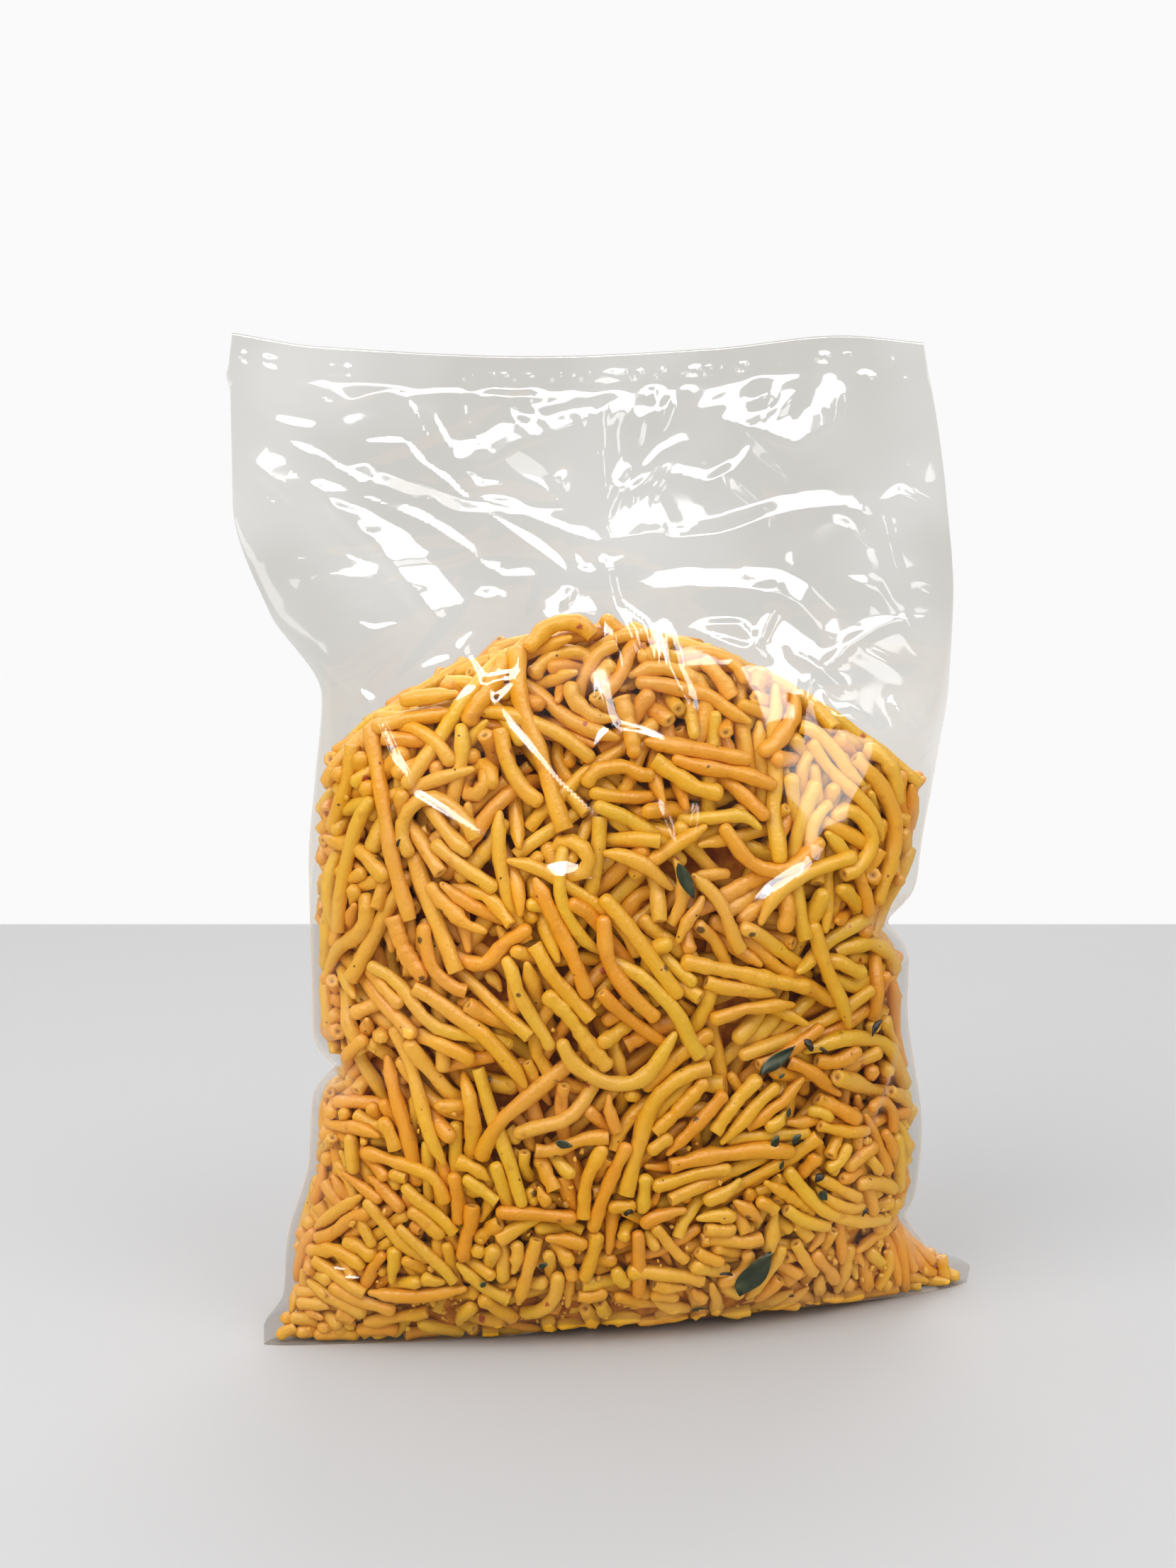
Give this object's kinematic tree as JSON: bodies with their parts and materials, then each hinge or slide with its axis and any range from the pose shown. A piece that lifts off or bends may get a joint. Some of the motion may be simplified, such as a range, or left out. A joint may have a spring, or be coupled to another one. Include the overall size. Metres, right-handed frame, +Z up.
{
  "type": "bag of murukku",
  "caption": "Clear sealed film bag standing upright, filled two thirds with loose fried murukku sticks under an empty flat top.",
  "frame": {"origin": "on the surface that the bag stands on, under the middle of its outer box", "axes": "+Z up, X along the bag's flat width and its seals, and the shown front faces -Y"},
  "size_m": [0.256, 0.095, 0.3345],
  "materials": {
    "murukku": "fried dough, slightly oily",
    "film": "clear glossy film",
    "curry_leaf": "dry fried leaf"
  },
  "bodies": {
    "root": {"bag": "murukku"}
  },
  "joints": []
}
